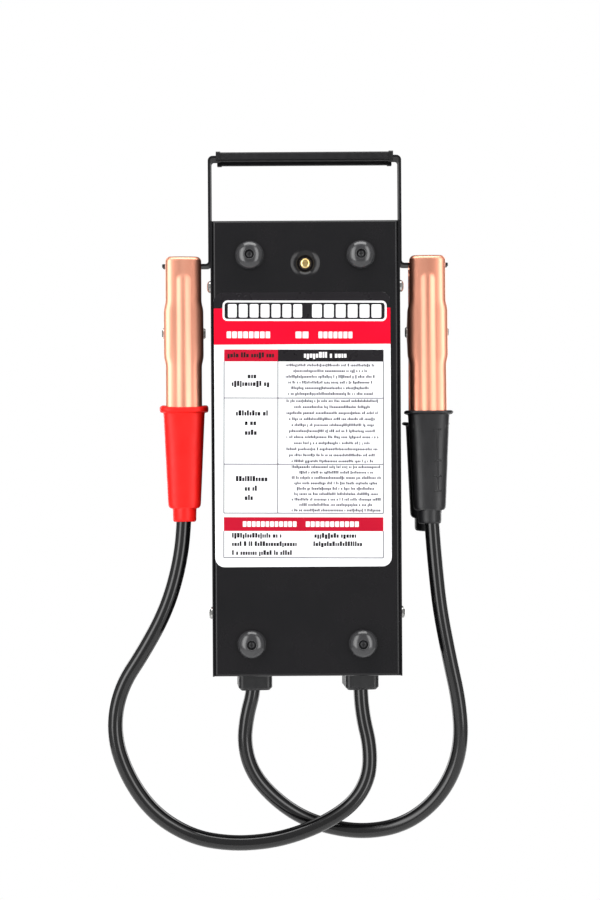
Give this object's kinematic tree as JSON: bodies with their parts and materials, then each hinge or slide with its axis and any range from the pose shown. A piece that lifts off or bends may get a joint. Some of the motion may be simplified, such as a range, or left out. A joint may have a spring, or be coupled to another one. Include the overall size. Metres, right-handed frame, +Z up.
{
  "type": "battery load tester",
  "caption": "Hand-held battery load tester: sheet-steel box with strap handle, meter, rocker switch and clamps on two leads parked on the handle's side tabs.",
  "frame": {"origin": "on the axis of the hand grip, half way along it", "axes": "+Z up as the tester hangs by its handle, -Y out of the back panel with the feet, +Y out of the front with the meter, -X to the red clamp"},
  "size_m": [0.2157, 0.0857, 0.4204],
  "materials": {
    "black_enamel": "satin",
    "bright_zinc": "bright",
    "blackened_steel": "satin",
    "foot_rubber": "matt",
    "sticker": "satin film",
    "screw_brass": "bright",
    "fibre": "matt",
    "grip_plastic": "satin",
    "gland_nylon": "satin",
    "lead_sheath": "glossy",
    "resistance_alloy": "oxidised",
    "copper": "polished",
    "red_vinyl": "glossy",
    "black_vinyl": "satin",
    "meter_moulding": "gloss",
    "clear_window": "clear",
    "dial_white": "matt",
    "magnet_iron": "matt",
    "pointer_alloy": "matt black",
    "switch_red": "gloss"
  },
  "bodies": {
    "tester": {"black_clamp_front_boot": "black_vinyl", "black_clamp_front_half": "copper", "black_clamp_pivot": "bright_zinc", "black_clamp_spring": "bright_zinc", "bus_bars": "copper", "bus_nuts": "bright_zinc", "bus_screws": "bright_zinc", "case_screws": "bright_zinc", "centre_screw": "screw_brass", "centre_washer": "fibre", "foot_nuts": "bright_zinc", "foot_screws": "blackened_steel", "front_cover": "black_enamel", "front_label": "sticker", "gland_body_left": "gland_nylon", "gland_body_right": "gland_nylon", "gland_locknuts": "gland_nylon", "gland_nut_left": "gland_nylon", "gland_nut_right": "gland_nylon", "handle_grip": "grip_plastic", "handle_rivets": "bright_zinc", "handle_spacers": "black_enamel", "handle_strap": "black_enamel", "lead_black": "lead_sheath", "lead_lugs": "copper", "lead_red": "lead_sheath", "load_insulators": "fibre", "load_post": "fibre", "load_ribbon": "resistance_alloy", "meter_bezel": "meter_moulding", "meter_bridge": "bright_zinc", "meter_case": "meter_moulding", "meter_core": "magnet_iron", "meter_dial": "dial_white", "meter_lens": "clear_window", "meter_magnet": "magnet_iron", "meter_nuts": "bright_zinc", "rear_label": "sticker", "rear_tray": "black_enamel", "red_clamp_front_boot": "red_vinyl", "red_clamp_front_half": "copper", "red_clamp_pivot": "bright_zinc", "red_clamp_spring": "bright_zinc", "rubber_feet": "foot_rubber", "switch_blades": "screw_brass", "switch_body": "meter_moulding"},
    "red_clamp_lever": {"red_clamp_rear_half": "copper", "red_clamp_rear_boot": "red_vinyl"},
    "black_clamp_lever": {"black_clamp_rear_half": "copper", "black_clamp_rear_boot": "black_vinyl"},
    "load_rocker": {"switch_rocker": "switch_red"},
    "meter_needle": {"meter_pointer": "pointer_alloy", "meter_coil": "copper"},
    "zero_adjuster": {"meter_zero_screw": "switch_red"}
  },
  "joints": [
    {"name": "red_clamp_squeeze", "type": "hinge", "parent": "tester", "child": "red_clamp_lever", "pos_m": [-0.0741, 0, -0.1061], "axis": [-0.9969, -0.0785, 0], "range_deg": [0, 9], "stiffness_Nm_per_rad": 6, "springref_deg": -20.05, "deforming": ["red_clamp_spring"]},
    {"name": "black_clamp_squeeze", "type": "hinge", "parent": "tester", "child": "black_clamp_lever", "pos_m": [0.07395, 0, -0.1061], "axis": [-0.9994, 0.0349, 0], "range_deg": [0, 10], "stiffness_Nm_per_rad": 6, "springref_deg": -20.05, "deforming": ["black_clamp_spring"]},
    {"name": "load_switch_rock", "type": "hinge", "parent": "tester", "child": "load_rocker", "pos_m": [0, 0.0315, -0.215], "axis": [-1, 0, 0], "range_deg": [0, 16], "stiffness_Nm_per_rad": 0.05, "springref_deg": -5.73},
    {"name": "meter_pointer_swing", "type": "hinge", "parent": "tester", "child": "meter_needle", "pos_m": [0, 0.0372, -0.114], "axis": [0, -1, 0], "range_deg": [0, 90], "stiffness_Nm_per_rad": 0.002, "springref_deg": -5.73},
    {"name": "zero_adjuster_turn", "type": "hinge", "parent": "tester", "child": "zero_adjuster", "pos_m": [0, 0.046, -0.124], "axis": [0, 1, 0], "range_deg": [-45, 45]}
  ]
}
